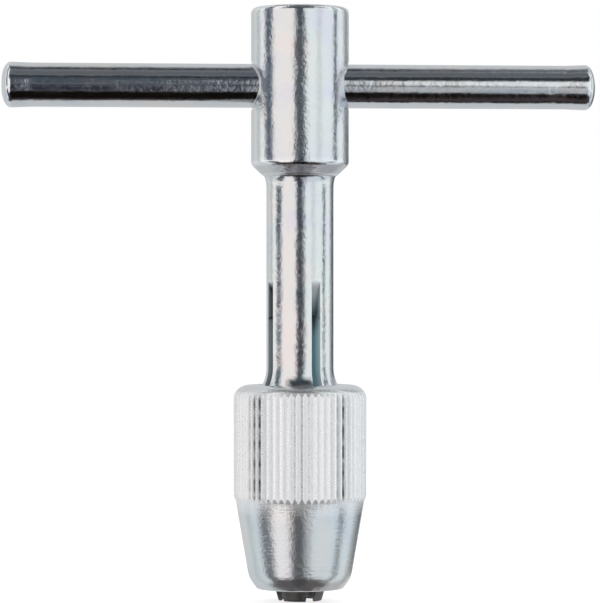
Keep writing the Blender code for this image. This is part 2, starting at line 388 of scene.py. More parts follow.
def weld(mesh: bpy.types.Mesh, distance: float) -> None:
    """Joins the points of a mesh that lie together and turns its faces outwards.

    Args:
        mesh: The mesh, in metres.
        distance: How near two points lie that become one, in metres.
    """
    form = bmesh.new()
    form.from_mesh(mesh)
    bmesh.ops.remove_doubles(form, verts=form.verts, dist=distance)
    bmesh.ops.recalc_face_normals(form, faces=form.faces)
    form.to_mesh(mesh)
    form.free()


def mesh_from(
    name: str, verts: Sequence[Sequence[float]], faces: Sequence[Sequence[int]]
) -> bpy.types.Mesh:
    """Makes a closed mesh with its faces outwards.

    Args:
        name: The mesh's name.
        verts: Places in millimetres.
        faces: Vertex numbers of each face.

    Returns:
        The mesh in metres.
    """
    mesh = bpy.data.meshes.new(name)
    mesh.from_pydata([tuple(c * MM for c in vert) for vert in verts], [], [tuple(face) for face in faces])
    weld(mesh, 1e-8)
    return mesh


def turned_mesh(name: str, outline: Sequence[Point], steps: int, closed: bool) -> bpy.types.Mesh:
    """Turns an outline round Z.

    Args:
        name: The mesh's name.
        outline: Radius and height of each point, in millimetres.
        steps: Facets round the axis.
        closed: Whether the last point joins the first.

    Returns:
        The mesh in metres.
    """
    turns = [2 * math.pi * step / steps for step in range(steps)]
    verts = [(r * math.cos(a), r * math.sin(a), z) for r, z in outline for a in turns]
    rows = len(outline) if closed else len(outline) - 1
    faces = []
    for row in range(rows):
        under = (row + 1) % len(outline)
        for step in range(steps):
            nxt = (step + 1) % steps
            faces.append((row * steps + step, under * steps + step, under * steps + nxt, row * steps + nxt))
    return mesh_from(name, verts, faces)


def new_object(name: str, mesh: bpy.types.Mesh) -> bpy.types.Object:
    """Puts a mesh in the scene as an object at the origin."""
    placed = bpy.data.objects.new(name, mesh)
    bpy.context.scene.collection.objects.link(placed)
    return placed


def shade(piece: bpy.types.Object, sharp: float = 35.0) -> None:
    """Smooths a piece but for its sharp edges, in degrees."""
    piece.data.shade_smooth()
    piece.data.set_sharp_from_angle(angle=math.radians(sharp))


def store(mesh: bpy.types.Mesh, name: str, values: Sequence[float]) -> None:
    """Stores one value for each point of a mesh as a named attribute."""
    mesh.attributes.new(name, "FLOAT", "POINT").data.foreach_set("value", values)


def mark_edges(mesh: bpy.types.Mesh, width: float, least: float = 9.0, seam: float = -1.0) -> None:
    """Stores the attribute "edge", 1 on each convex corner and fading to 0 away from it, which paints wear
    and a highlight there.

    Args:
        mesh: The mesh, in metres.
        width: How far the worn look and its painted highlight reach, in millimetres.
        least: The bend between two faces that counts as a corner, in degrees.
        seam: A height in millimetres at which no corner counts, because the metal goes on.
    """
    form = bmesh.new()
    form.from_mesh(mesh)
    bent = {
        vert.index
        for edge in form.edges
        if len(edge.link_faces) == 2 and edge.calc_face_angle_signed(0.0) > math.radians(least)
        for vert in edge.verts
        if abs(vert.co.z / MM - seam) > 0.01
    }
    form.free()
    tree = KDTree(max(1, len(bent)))
    for number in bent:
        tree.insert(mesh.vertices[number].co, number)
    tree.balance()
    wear_and_highlight = []
    for vert in mesh.vertices:
        distance = tree.find(vert.co)[2] if bent else 1.0
        wear_and_highlight.append(max(0.0, 1 - distance / (width * MM)))
    store(mesh, "edge", wear_and_highlight)


def mark_soil_and_shade(mesh: bpy.types.Mesh, rule: Callable[[float, float, float], float]) -> None:
    """Stores the share of the soil colour, which in places is painted shade, by a rule.

    Args:
        mesh: The mesh, in metres.
        rule: Gives a value from 0 to 1 for a place in millimetres.
    """
    store(mesh, "soil_and_shade", [min(1.0, max(0.0, rule(*(c / MM for c in vert.co)))) for vert in mesh.vertices])


def mark_painted_shade(mesh: bpy.types.Mesh, full: float, none: float, reach: float) -> None:
    """Stores painted shade inside the bore and the slots, fading from one height to another.

    Args:
        mesh: The mesh, in metres.
        full: The height at which the painted shade is darkest, in millimetres.
        none: The height at which it ends.
        reach: The radius within which it lies.
    """
    values = []
    for vert in mesh.vertices:
        x, y, z = (c / MM for c in vert.co)
        values.append(PAINTED_SHADE_SHARE * fade(z, full, none) if math.hypot(x, y) < reach else 0.0)
    store(mesh, "painted_shade", values)


def fade(value: float, full: float, none: float) -> float:
    """1 at full and beyond, 0 at none and beyond, straight in between."""
    return min(1.0, max(0.0, (value - none) / (full - none)))


@dataclass
class Slots:
    """The four saw cuts that part the jaws, each running out upwards on the saw's radius."""

    top: float = 43.7
    width: float = 1.35
    first_angle: float = 24.0
    count: int = 4
    saw_radius: float = 25.0
    floor_radius: float = 2.5
    oiled_angle: float = 204.0
    oiled_reach: float = 20.0
    rim_steps: int = 288

    def is_oiled(self, angle: float) -> bool:
        """Whether an angle round the spindle lies at the slot in which cutting oil has dried."""
        return abs(angle - self.oiled_angle) < self.oiled_reach

    def half_chord(self, radius: float) -> float:
        """Half the height over which the saw's rim passes a radius."""
        depth = radius - self.floor_radius
        return math.sqrt(2 * self.saw_radius * depth - depth * depth)

    def cutter(self, shank_radius: float) -> bpy.types.Object:
        """Builds the four saw blades as one cutter.

        Args:
            shank_radius: The radius at which the slots reach their top.

        Returns:
            The cutter, whose faces use the second material.
        """
        rim = self.saw_radius
        half = self.width / 2
        blade = [(0.0, half), (rim, half), (rim, -half), (0.0, -half)]
        joined = bmesh.new()
        for index in range(self.count):
            one = turned_mesh("blade", blade, self.rim_steps, closed=False)
            upright = Matrix.Rotation(math.pi / 2, 4, "X")
            height = self.top - self.half_chord(shank_radius)
            out = Matrix.Translation(Vector((self.floor_radius + rim, 0, height)) * MM)
            turn = Matrix.Rotation(math.radians(self.first_angle + index * 360 / self.count), 4, "Z")
            one.transform(turn @ out @ upright)
            joined.from_mesh(one)
            bpy.data.meshes.remove(one)
        mesh = bpy.data.meshes.new("saw_blades")
        joined.to_mesh(mesh)
        joined.free()
        mesh.polygons.foreach_set("material_index", [1] * len(mesh.polygons))
        return new_object("saw_blades", mesh)


@dataclass
class Spindle:
    """Head, shoulder and upper shank in one turned piece, bored from below and cross-drilled."""

    slots: Slots
    top: float = 81.1
    head_radius: float = 6.7
    head_foot: float = 59.65
    shoulder_foot: float = 58.15
    shoulder_radius: float = 5.1
    fillet_foot: float = 56.35
    shank_radius: float = 4.6
    bottom: float = 38.715
    bore_radius: float = 3.1
    bore_top: float = 50.0
    drill_point: float = 51.86
    hole_height: float = 70.4
    hole_radius: float = 3.1
    hole_rounding: float = 0.5
    window_height: float = 4.6
    window_columns: int = 24
    top_rounding: float = 0.85
    foot_rounding: float = 0.42
    teal_heights: Point = (38.8, 41.8)
    teal_radii: Point = (4.0, 4.5)
    columns: int = 192

    def outline(self) -> list[Point]:
        """Outline from the middle of the head's top round to the drill point.

        Returns:
            The points in millimetres, without the two poles.
        """
        head, shank = self.head_radius, self.shank_radius
        window = self.window_height
        above = rounded(
            [
                (0.4, self.top, 0),
                (head, self.top, self.top_rounding),
                (head, self.hole_height + window, 0),
            ]
        )
        beside = [(head, self.hole_height + window), (head, self.hole_height - window)]
        below = rounded(
            [
                (head, self.hole_height - window, 0),
                (head, self.head_foot, self.foot_rounding),
                (self.shoulder_radius, self.shoulder_foot, 0),
            ]
        )
        fillet = arc(
            (self.shoulder_radius, self.fillet_foot),
            (self.shoulder_radius - shank, self.shoulder_foot - self.fillet_foot),
            90,
            180,
            12,
        )
        lower = rounded(
            [
                (shank, self.fillet_foot, 0),
                (shank, self.bottom, 0),
                (self.bore_radius, self.bottom, 0),
                (self.bore_radius, self.bore_top, 0),
                (0.2, self.drill_point - 0.12, 0),
            ]
        )
        points = fine(above, 0.45) + fine(beside, 0.4)[1:] + fine(below, 0.45)[1:]
        return points + fillet + fine(lower, 0.5)[1:]

    def mouth_loops(self, loop: Sequence[Point]) -> list[list[tuple[float, float, float]]]:
        """Rings of points from the edge of the window in the head's side to the wall of the cross hole.

        Args:
            loop: The window's edge, as angle from +X in radians and height from the hole's axis.

        Returns:
            The rings on the +X side, in millimetres, the window's edge left out.
        """
        radius, hole, ease = self.head_radius, self.hole_radius, self.hole_rounding
        turns = [math.atan2(w, radius * angle) for angle, w in loop]
        rings = []
        for share in (0.25, 0.45, 0.62, 0.76, 0.87, 0.95, 1.0):
            ring = []
            for (angle, w), turn in zip(loop, turns):
                rim_angle = math.asin((hole + ease) * math.cos(turn) / radius)
                a = angle + (rim_angle - angle) * share
                z = w + ((hole + ease) * math.sin(turn) - w) * share
                ring.append((radius * math.cos(a), radius * math.sin(a), self.hole_height + z))
            rings.append(ring)
        outer = rings[-1]
        for share in (0.16, 0.33, 0.5, 0.67, 0.84, 1.0):
            ring = []
            for start, turn in zip(outer, turns):
                y, z = hole * math.cos(turn), self.hole_height + hole * math.sin(turn)
                rim = math.sqrt(radius**2 - y**2)
                corner, wall = Vector((rim, y, z)), Vector((rim - ease, y, z))
                point = (
                    Vector(start) * (1 - share) ** 2
                    + corner * (2 * share * (1 - share))
                    + wall * share**2
                )
                ring.append(tuple(point))
            rings.append(ring)
        return rings

    def skin_faces(self, rows: int, first: int, last: int) -> list[tuple[int, ...]]:
        """Faces of the turned skin, with a window left open at each mouth of the cross hole.

        Args:
            rows: The number of rings of points.
            first: The ring at the windows' upper edge.
            last: The ring at their lower edge.

        Returns:
            The vertex numbers of each face.
        """
        count, reach = self.columns, self.window_columns
        faces = []
        for row in range(rows - 1):
            for column in range(count):
                aside = [(column + turn) % count - count // 2 for turn in (count // 2, 0)]
                if first <= row < last and any(-reach <= offset < reach for offset in aside):
                    continue
                nxt = (column + 1) % count
                here, under = row * count, (row + 1) * count
                faces.append((here + column, under + column, under + nxt, here + nxt))
        return faces

    def mesh(self) -> bpy.types.Mesh:
        """Joins the turned skin, the two mouths of the cross hole and its wall into one closed mesh.

        Returns:
            The mesh in metres.
        """
        outline = self.outline()
        count, reach = self.columns, self.window_columns
        turns = [2 * math.pi * column / count for column in range(count)]
        verts = [(r * math.cos(a), r * math.sin(a), z) for r, z in outline for a in turns]
        heights = [self.hole_height + self.window_height, self.hole_height - self.window_height]
        on_head = [row for row, (r, _) in enumerate(outline) if abs(r - self.head_radius) < 1e-6]
        first, last = (min(on_head, key=lambda row: abs(outline[row][1] - h)) for h in heights)
        faces = self.skin_faces(len(outline), first, last)
        # The two poles: the middle of the head's top and the drill point
        for row, height in ((0, self.top), (len(outline) - 1, self.drill_point)):
            verts.append((0.0, 0.0, height))
            ring = range(row * count, (row + 1) * count)
            faces += [(ring[i], ring[(i + 1) % count], len(verts) - 1) for i in range(count)]
        # The window's edge, walked once round, and the mouths and the wall that hang on it
        path = [(column, first) for column in range(-reach, reach)]
        path += [(reach, row) for row in range(first, last)]
        path += [(column, last) for column in range(reach, -reach, -1)]
        path += [(-reach, row) for row in range(last, first, -1)]
        loop = [(2 * math.pi * c / count, outline[row][1] - self.hole_height) for c, row in path]
        rings = self.mouth_loops(loop)
        size = len(path)
        wall_ends = []
        for side in (1, -1):
            columns = [c if side == 1 else count // 2 - c for c, _ in path]
            outer = [row * count + column % count for column, (_, row) in zip(columns, path)]
            for ring in rings:
                inner = list(range(len(verts), len(verts) + size))
                verts += [(side * x, y, z) for x, y, z in ring]
                faces += [
                    (outer[i], outer[(i + 1) % size], inner[(i + 1) % size], inner[i]) for i in range(size)
                ]
                outer = inner
            wall_ends.append(outer)
        near, far = wall_ends
        faces += [(near[i], near[(i + 1) % size], far[(i + 1) % size], far[i]) for i in range(size)]
        return mesh_from("spindle_turned", verts, faces)

    def soil_and_shade_at(self, x: float, y: float, z: float) -> float:
        """How much soil colour a place gets: in the bore and the slots, and as painted shade in the cross
        hole and a little on the shoulder under the head.

        Args:
            x: The place in millimetres.
            y: The same.
            z: The same.

        Returns:
            A value that mark_soil_and_shade keeps between 0 and 1.
        """
        radius = math.hypot(x, y)
        if z < self.slots.top and radius > self.bore_radius + 0.1:
            return fade(z, *self.teal_heights) * fade(radius, *self.teal_radii)
        in_bore = radius < self.bore_radius + 0.1 and z < self.drill_point + 0.5
        in_hole = abs(z - self.hole_height) < self.hole_radius + 0.1 and radius < self.head_radius - 0.5
        on_shoulder = self.shoulder_foot - 0.2 < z < self.head_foot - 0.2 and radius > 4.9
        # The cross hole and the shoulder under the head get painted shade: the dark soil colour where shade
        # falls.
        return 1.0 if in_bore else 0.8 if in_hole else 0.14 if on_shoulder else 0.0

    def build(self) -> bpy.types.Object:
        """Makes the piece, saws its slots and ties it to its body.

        Returns:
            The dressed piece.
        """
        piece = new_object("spindle_body", self.mesh())
        cutter = self.slots.cutter(self.shank_radius)
        for material in (BODY_ZINC.make(), SAWN_STEEL.make(), OILED_STEEL.make()):
            piece.data.materials.append(material)
            cutter.data.materials.append(material)
        saw = piece.modifiers.new("saw", "BOOLEAN")
        saw.object = cutter
        saw.operation = "DIFFERENCE"
        saw.solver = "EXACT"
        graph = bpy.context.evaluated_depsgraph_get()
        sawn = bpy.data.meshes.new_from_object(piece.evaluated_get(graph))
        piece.modifiers.clear()
        piece.data = sawn
        bpy.data.objects.remove(cutter)
        for face in sawn.polygons:
            radius = math.hypot(face.center.x, face.center.y) / MM
            if radius < self.bore_radius + 0.05 and face.center.z / MM < self.drill_point + 0.1:
                face.material_index = 1
            turn = math.degrees(math.atan2(face.center.y, face.center.x)) % 360
            if face.material_index == 1 and radius > self.bore_radius and self.slots.is_oiled(turn):
                face.material_index = 2
        shade(piece)
        mark_edges(sawn, 0.28, seam=self.bottom)
        mark_soil_and_shade(sawn, self.soil_and_shade_at)
        # Paints near-black shade into the bore and the slots just above the jaws
        mark_painted_shade(sawn, self.bottom + 0.6, self.bottom + 3.2, self.shank_radius - 0.05)
        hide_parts("spindle")
        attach(piece, "spindle")
        return piece


@dataclass
class SpringJaws:
    """The four sawn fingers of the body: strip, flare, threaded land, neck, closing cone and tip."""

    slots: Slots
    top: float = 38.715
    shank_radius: float = 4.6
    bore_radius: float = 3.1
    flare_start: float = 31.9
    flare_radius: float = 5.5
    flare_rise: float = 0.75
    land_bottom: float = 15.0
    neck_radius: float = 4.7
    cone_top: float = 8.18
    nose_radius: float = 3.43
    nose_height: float = 1.65
    tip_radius: float = 2.95
    grip_radius: float = 2.45
    grip_length: float = 10.0
    thread_pitch: float = 1.27
    thread_depth: float = 0.36
    thread_run_out: float = 3.2
    thread_row: float = 0.11
    grime_height: float = 2.6
    bend_foot: float = 30.0
    columns: int = 30

    def outline(self) -> list[Point]:
        """Section through the fingers' wall: the outside downwards, then the bore upwards.

        Returns:
            The points in millimetres.
        """
        land = self.shank_radius + self.flare_rise
        sweep = math.degrees(math.acos(1 - self.flare_rise / self.flare_radius))
        centre = (self.shank_radius + self.flare_radius, self.flare_start)
        flare = arc(centre, (self.flare_radius, self.flare_radius), 180, 180 + sweep, 14)
        outside = fine([(self.shank_radius, self.top), flare[0]], 0.4) + flare[1:]
        outside += fine([(land, flare[-1][1]), (land, self.land_bottom)], self.thread_row)[1:]
        lower = rounded(
            [
                (land, self.land_bottom, 0),
                (self.neck_radius, self.land_bottom, 0),
                (self.neck_radius, self.cone_top, 0.3),
                (self.nose_radius, self.nose_height, 0.25),
                (self.tip_radius, 0.0, 0.15),
                (self.grip_radius, 0.0, 0.2),
                (self.grip_radius, self.grip_length, 0),
                (self.bore_radius, self.grip_length + self.bore_radius - self.grip_radius, 0),
                (self.bore_radius, self.top, 0),
            ]
        )
        return outside + fine(lower, 0.5)[1:]

    def thread(self, radius: float, height: float, angle: float) -> float:
        """The radius once the right-hand thread is cut in the land.

        Args:
            radius: The turned radius.
            height: The height of the point.
            angle: Its angle round the spindle.

        Returns:
            The radius after cutting.
        """
        land = self.shank_radius + self.flare_rise
        if abs(radius - land) > 1e-6 or height > self.flare_start - self.thread_run_out:
            return radius
        # The groove fills most of each pitch, with straight flanks and a short flat at the root.
        phase = (height / self.thread_pitch - angle / (2 * math.pi)) % 1.0
        flank = min(1.0, max(0.0, 1.25 - abs(phase - 0.5) * 3.2))
        return radius - self.thread_depth * flank

    def build(self) -> list[bpy.types.Object]:
        """Makes the four fingers.

        Returns:
            The dressed pieces.
        """
        materials = (BODY_ZINC.make(), SAWN_STEEL.make(), OILED_STEEL.make())
        return [self._build_one(index, materials) for index in range(self.slots.count)]

    def _build_one(self, index: int, materials: Sequence[bpy.types.Material]) -> bpy.types.Object:
        """Makes one finger between two neighbouring slots.

        Args:
            index: Which finger, from 0.
            materials: The plated, the sawn and the oiled finish.

        Returns:
            The dressed piece.
        """
        outline = self.outline()
        half = self.slots.width / 2
        quarter = 2 * math.pi / self.slots.count
        start = math.radians(self.slots.first_angle) + index * quarter
        verts = []
        for radius, height in outline:
            skip = math.asin(half / radius)
            for column in range(self.columns + 1):
                angle = start + skip + (quarter - 2 * skip) * column / self.columns
                cut = self.thread(radius, height, angle)
                verts.append((cut * math.cos(angle), cut * math.sin(angle), height))
        # The turned walls, then the two sawn sides, which are one flat face each
        rows, width = len(outline), self.columns + 1
        faces = []
        for row in range(rows):
            here, under = row * width, ((row + 1) % rows) * width
            faces += [(here + c, under + c, under + c + 1, here + c + 1) for c in range(self.columns)]
        faces.append([row * width for row in range(rows)])
        faces.append([row * width + self.columns for row in reversed(range(rows))])
        mesh = mesh_from(f"jaw_{index + 1}", verts, faces)
        # A row of edges where the plated tip begins
        form = bmesh.new()
        form.from_mesh(mesh)
        every = [*form.verts, *form.edges, *form.faces]
        level = (0.0, 0.0, self.grime_height * MM)
        bmesh.ops.bisect_plane(form, geom=every, plane_co=level, plane_no=(0.0, 0.0, 1.0))
        form.to_mesh(mesh)
        form.free()
        piece = new_object(f"jaw_finger_{index + 1}", mesh)
        for material in materials:
            mesh.materials.append(material)
        for face in mesh.polygons:
            radius = math.hypot(face.center.x, face.center.y) / MM
            inside = len(face.vertices) > 4 or radius < self.bore_radius + 0.05
            if inside and face.center.z > self.grime_height * MM:
                turn = math.degrees(math.atan2(face.center.y, face.center.x)) % 360
                face.material_index = 2 if len(face.vertices) > 4 and self.slots.is_oiled(turn) else 1
        shade(piece)
        mark_edges(mesh, 0.2, 25.0, seam=self.top)
        mark_soil_and_shade(mesh, self.soil_and_shade_at)
        # Paints near-black shade into the bore and the slots just below the spindle
        mark_painted_shade(mesh, self.top + 0.6, self.top - 2.2, self.shank_radius - 0.05)
        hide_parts(f"spring_jaw_{index + 1}")
        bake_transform(piece)
        return piece

    def soil_and_shade_at(self, x: float, y: float, z: float) -> float:
        """How soiled a place of a finger is: inside the bore, in the thread and at the dark tips.

        Args:
            x: The place in millimetres.
            y: The same.
            z: The same.

        Returns:
            A value from 0 to 1.
        """
        radius = math.hypot(x, y)
        inside = fade(radius, 4.0, 4.58) if z > self.grime_height + 0.01 else 0.85
        thread = 0.5 if radius < 5.25 and 15 < z < 28.7 and radius > 4.8 else 0.0
        return max(inside, thread)


@dataclass
class ChuckNut:
    """The knurled nut, turned and knurled by a rule in Geometry Nodes."""

    nose: float = 1.65
    length: float = 27.85
    crest_radius: float = 9.1
    knurl_depth: float = 0.3
    crown_inset: float = 2.2
    crown_height: float = 1.9
    run_out: float = 0.65
    knurl_foot: float = 14.0
    taper_top: float = 8.8
    taper_foot: Point = (7.0, 3.15)
    nose_radius: float = 5.9
    lip_radius: float = 4.0
    floor: float = 3.35
    bore_radius: float = 5.6
    teeth: int = 60
    samples: int = 16
    flank_share: float = 0.75
    # Knurl grooves that get painted shade, as angle round the nut and strength
    shaded_grooves: tuple[Point, ...] = ((216, 0.35), (222, 0.85), (228, 1.0), (300, 0.3), (306, 0.95))

    def outline(self) -> list[Point]:
        """Closed section of the nut's wall, from the mouth over the crown down to the nose and back up.

        Returns:
            The points in millimetres.
        """
        top = self.nose + self.length
        inset = self.crest_radius - self.crown_inset
        crown_foot = top - self.crown_height
        crown = arc((inset, crown_foot), (self.crown_inset, self.crown_height), 90, 0, 30)
        mouth = fine([(self.bore_radius + 0.5, top), (inset, top)], 0.3)
        band_foot = self.knurl_foot + 0.3
        knurl = fine([(self.crest_radius, crown_foot), (self.crest_radius, band_foot)], 0.6)
        run_out = (self.taper_top, band_foot - self.run_out)
        knurl += fine([knurl[-1], run_out], 0.08)[1:]
        lower = rounded(
            [
                (*run_out, 0),
                (*self.taper_foot, 0.75),
                (self.nose_radius, self.nose, 0.2),
                (self.lip_radius, self.nose, 0.2),
                (self.lip_radius, self.floor, 0.1),
                (self.bore_radius, self.floor, 0),
                (self.bore_radius, top - 0.5, 0),
                (self.bore_radius + 0.5, top, 0),
            ],
            steps=3,
        )
        return mouth + crown[1:] + knurl[1:] + fine(lower, 2.4)[1:-1]

    def tree(self) -> bpy.types.GeometryNodeTree:
        """Builds the rule: a grid wrapped round the section, with straight V grooves sunk in it.

        Returns:
            The node tree.
        """
        tree = bpy.data.node_groups.new("Knurled turning", "GeometryNodeTree")
        face = tree.interface
        face.new_socket("Section", in_out="INPUT", socket_type="NodeSocketGeometry")
        for name, kind in (
            ("Steps", "NodeSocketInt"),
            ("Teeth", "NodeSocketInt"),
            ("Crest radius", "NodeSocketFloat"),
            ("Groove depth", "NodeSocketFloat"),
            ("Flank share", "NodeSocketFloat"),
            ("Finish", "NodeSocketMaterial"),
        ):
            face.new_socket(name, in_out="INPUT", socket_type=kind)
        face.new_socket("Nut", in_out="OUTPUT", socket_type="NodeSocketGeometry")
        given = add_node(tree, "NodeGroupInput").outputs

        def math_node(operation: str, *values: object) -> bpy.types.NodeSocket:
            """One calculation of the rule."""
            step = add_node(tree, "ShaderNodeMath", dict(enumerate(values)), operation=operation)
            return step.outputs[0]

        points = add_node(
            tree, "GeometryNodeAttributeDomainSize", {0: given["Section"]}, component="MESH"
        ).outputs["Point Count"]
        columns = math_node("ADD", given["Steps"], 1.0)
        grid = add_node(tree, "GeometryNodeMeshGrid", {"Vertices X": columns, "Vertices Y": points})
        number = add_node(tree, "GeometryNodeInputIndex").outputs[0]
        column = math_node("FLOOR", math_node("DIVIDE", math_node("ADD", number, 0.5), points))
        row = math_node("SUBTRACT", number, math_node("MULTIPLY", column, points))
        place = add_node(tree, "GeometryNodeInputPosition").outputs[0]
        section = add_node(
            tree,
            "GeometryNodeSampleIndex",
            {0: given["Section"], "Value": place, "Index": row},
            data_type="FLOAT_VECTOR",
            domain="POINT",
        )
        turned = add_node(tree, "ShaderNodeSeparateXYZ", {0: section.outputs[0]}).outputs
        share = math_node("DIVIDE", column, given["Steps"])
        angle = math_node("MULTIPLY", share, 2 * math.pi)
        wave = math_node("PINGPONG", math_node("MULTIPLY", share, given["Teeth"]), 0.5)
        flank = math_node("MULTIPLY", given["Flank share"], 0.5)
        tooth = add_node(tree, "ShaderNodeMapRange", {0: wave, 2: flank})
        root = math_node("SUBTRACT", given["Crest radius"], given["Groove depth"])
        groove = math_node("MULTIPLY_ADD", tooth.outputs[0], given["Groove depth"], root)
        radius = math_node("MINIMUM", turned["X"], groove)
        sunk = math_node("DIVIDE", math_node("SUBTRACT", turned["X"], radius), given["Groove depth"])
        x = math_node("MULTIPLY", radius, math_node("COSINE", angle))
        y = math_node("MULTIPLY", radius, math_node("SINE", angle))
        wrapped = add_node(tree, "ShaderNodeCombineXYZ", {0: x, 1: y, 2: turned["Z"]}).outputs[0]
        stored = add_node(
            tree,
            "GeometryNodeStoreNamedAttribute",
            {"Geometry": grid.outputs[0], "Name": "sunk", "Value": sunk},
            data_type="FLOAT",
            domain="POINT",
        )
        placing = {"Geometry": stored.outputs[0], "Position": wrapped}
        moved = add_node(tree, "GeometryNodeSetPosition", placing)
        merged = add_node(
            tree, "GeometryNodeMergeByDistance", {"Geometry": moved.outputs[0], "Distance": 1e-7}
        )
        real = add_node(tree, "GeometryNodeRealizeInstances", {"Geometry": merged.outputs[0]})
        dressed = add_node(
            tree, "GeometryNodeSetMaterial", {"Geometry": real.outputs[0], "Material": given["Finish"]}
        )
        add_node(tree, "NodeGroupOutput", {0: dressed.outputs[0]})
        return tree

    def build(self) -> bpy.types.Object:
        """Runs the rule, keeps its result as a plain mesh and ties it to its body.

        Returns:
            The dressed piece.
        """
        outline = self.outline()
        section = bpy.data.meshes.new("nut_section")
        points = [(r * MM, 0.0, z * MM) for r, z in outline + outline[:1]]
        section.from_pydata(points, [(i, i + 1) for i in range(len(outline))], [])
        carrier = new_object("nut_section", section)
        rule = carrier.modifiers.new("knurled turning", "NODES")
        rule.node_group = self.tree()
        values = {
            "Steps": self.teeth * self.samples,
            "Teeth": self.teeth,
            "Crest radius": self.crest_radius * MM,
            "Groove depth": self.knurl_depth * MM,
            "Flank share": self.flank_share,
            "Finish": NUT_ZINC.make(),
        }
        for socket in rule.node_group.interface.items_tree:
            if socket.name in values:
                rule[socket.identifier] = values[socket.name]
        graph = bpy.context.evaluated_depsgraph_get()
        graph.update()
        mesh = bpy.data.meshes.new_from_object(carrier.evaluated_get(graph))
        bpy.data.objects.remove(carrier)
        weld(mesh, 1e-7)
        mesh.name = "knurled_nut"
        piece = new_object("knurled_nut", mesh)
        shade(piece, 24.0)
        self.mark(mesh)
        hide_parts("chuck_nut")
        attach(piece, "chuck_nut")
        return piece

    def mark(self, mesh: bpy.types.Mesh) -> None:
        """Stores where the nut gets its milky bloom, where its crests are polished and carry a painted
        highlight, and which grooves get painted shade.

        Args:
            mesh: The nut's mesh, with the attribute "sunk" from the rule.
        """
        sunk = np.zeros(len(mesh.vertices), np.float32)
        mesh.attributes["sunk"].data.foreach_get("value", sunk)
        places = np.zeros(len(mesh.vertices) * 3, np.float32)
        mesh.vertices.foreach_get("co", places)
        x, y, z = places.reshape(-1, 3).T / MM
        radius = np.hypot(x, y)
        outside = radius > self.bore_radius + 0.6
        in_band = outside & (z > self.knurl_foot - 0.4) & (z < self.nose + self.length - 0.9)
        soil_and_shade = np.where(in_band, np.clip(0.5 + sunk * 4, 0, 1), 0.0)
        soil_and_shade = np.where(radius < self.bore_radius + 0.05, 0.7, soil_and_shade)
        # The crests take the white worn colour, as wear and as a painted highlight
        edge = np.where(in_band, np.clip(1 - sunk, 0, 1), 0.0)
        painted_shade = np.zeros(len(z))
        turn = np.degrees(np.arctan2(y, x)) % 360
        half = 180 / self.teeth
        deep = np.clip((sunk - 0.35) * 3, 0, 1)
        for angle, strength in self.shaded_grooves:
            # Painted shade laid into single grooves, thinned out here and there by two waves along each
            # groove.
            broken = 0.72 + 0.28 * np.sin(z * 2.3 + angle) + 0.2 * np.sin(z * 5.9 + 2 * angle)
            filled = in_band & (np.abs(turn - angle) < half)
            painted_shade = np.where(filled, deep * strength * np.clip(broken, 0, 1), painted_shade)
        for name, values in (("soil_and_shade", soil_and_shade), ("edge", edge), ("painted_shade", painted_shade)):
            store(mesh, name, values.astype(np.float32))


@dataclass
class ClosingCone:
    """The wall of the nut's closing cone, which pushes the jaws together."""

    bottom: float = 3.65
    top: float = 10.75
    outer_radius: float = 5.5
    cone_radius: float = 4.07
    neck_radius: float = 4.95
    neck_height: float = 8.18
    columns: int = 96

    def build(self) -> bpy.types.Object:
        """Makes the cone and ties it to its body.

        Returns:
            The dressed piece.
        """
        section = rounded(
            [
                (self.outer_radius, self.top, 0),
                (self.outer_radius, self.bottom, 0),
                (self.cone_radius, self.bottom, 0.15),
                (self.neck_radius, self.neck_height, 0.4),
                (self.neck_radius, self.top, 0),
                (self.outer_radius, self.top, 0),
            ]
        )[:-1]
        mesh = turned_mesh("closing_cone", fine(section, 0.8), self.columns, closed=True)
        piece = new_object("closing_cone", mesh)
        mesh.materials.append(SAWN_STEEL.make())
        shade(piece)
        mark_edges(mesh, 0.2)
        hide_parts("chuck_nut_cone")
        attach(piece, "chuck_nut_cone")
        return piece


@dataclass
class TommyBar:
    """The sliding bar, whose ends are upset so that it can't leave the head."""

    radius: float = 3.0
    half_length: float = 40.7
    height: float = 70.4
    upset_rise: float = 0.1
    upset_length: float = 0.4
    upset_fade: float = 2.4
    dome: float = 1.25
    face_radius: float = 0.5
    columns: int = 128

    def outline(self) -> list[Point]:
        """Outline of the bar from end to end, as radius and place along it.

        Returns:
            The points in millimetres.
        """
        upset = self.radius + self.upset_rise
        ring_end = self.half_length - self.dome
        ring_start = ring_end - self.upset_length
        dome = arc((self.face_radius, ring_end), (upset - self.face_radius, self.dome), 90, 0, 14)
        plain = ring_start - self.upset_fade
        bulge = [
            (*dome[-1], 0),
            (upset, ring_start, 0.25),
            (self.radius, plain, 0.3),
            (self.radius, 30.0, 0),
        ]
        end = [(0.0, self.half_length), *dome, *rounded(bulge)[1:]]
        whole = end + [(r, -z) for r, z in reversed(end)]
        return fine(whole, 1.2)

    def build(self) -> bpy.types.Object:
        """Makes the bar and ties it to its body.

        Returns:
            The dressed piece.
        """
        mesh = turned_mesh("tommy_bar", self.outline(), self.columns, closed=False)
        lying = Matrix.Rotation(math.pi / 2, 4, "Y")
        mesh.transform(Matrix.Translation((0, 0, self.height * MM)) @ lying)
        piece = new_object("sliding_bar", mesh)
        mesh.materials.append(BAR_ZINC.make())
        shade(piece)
        mark_edges(mesh, 0.35)
        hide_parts("tommy_bar")
        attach(piece, "tommy_bar")
        return piece


